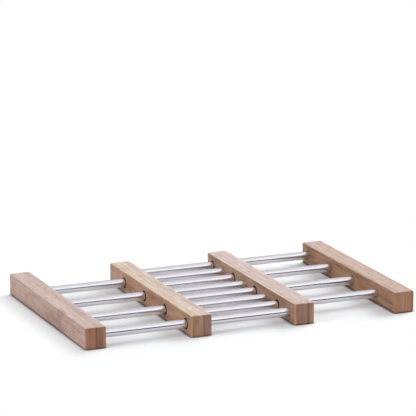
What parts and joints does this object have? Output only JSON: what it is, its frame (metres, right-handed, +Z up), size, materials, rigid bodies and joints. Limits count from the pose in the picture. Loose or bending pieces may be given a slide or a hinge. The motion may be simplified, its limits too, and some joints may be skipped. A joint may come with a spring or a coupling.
{
  "type": "expanding trivet",
  "caption": "Flat pot stand of square bamboo bars and polished steel tubes, whose halves slide through each other to make it wider or narrower.",
  "frame": {"origin": "on the table, in the middle of the trivet's footprint when it is half open", "axes": "+X along the tubes, from the left outer bar to the right outer bar; +Y along the bars, from the front to the back; +Z up"},
  "size_m": [0.32, 0.2, 0.02],
  "materials": {
    "bamboo": "steamed laminated bamboo, sanded smooth and lightly oiled",
    "polished_steel": "stainless steel tube, mirror polished"
  },
  "bodies": {
    "left_half": {"left_outer_bar": "bamboo", "right_inner_bar": "bamboo", "left_tube_1": "polished_steel", "left_tube_2": "polished_steel", "left_tube_3": "polished_steel", "left_tube_4": "polished_steel"},
    "right_half": {"left_inner_bar": "bamboo", "right_outer_bar": "bamboo", "right_tube_1": "polished_steel", "right_tube_2": "polished_steel", "right_tube_3": "polished_steel", "right_tube_4": "polished_steel"}
  },
  "joints": [
    {"name": "expand_slide", "type": "slide", "parent": "left_half", "child": "right_half", "axis": [1, 0, 0], "range_m": [-0.0797, 0.0797]}
  ]
}
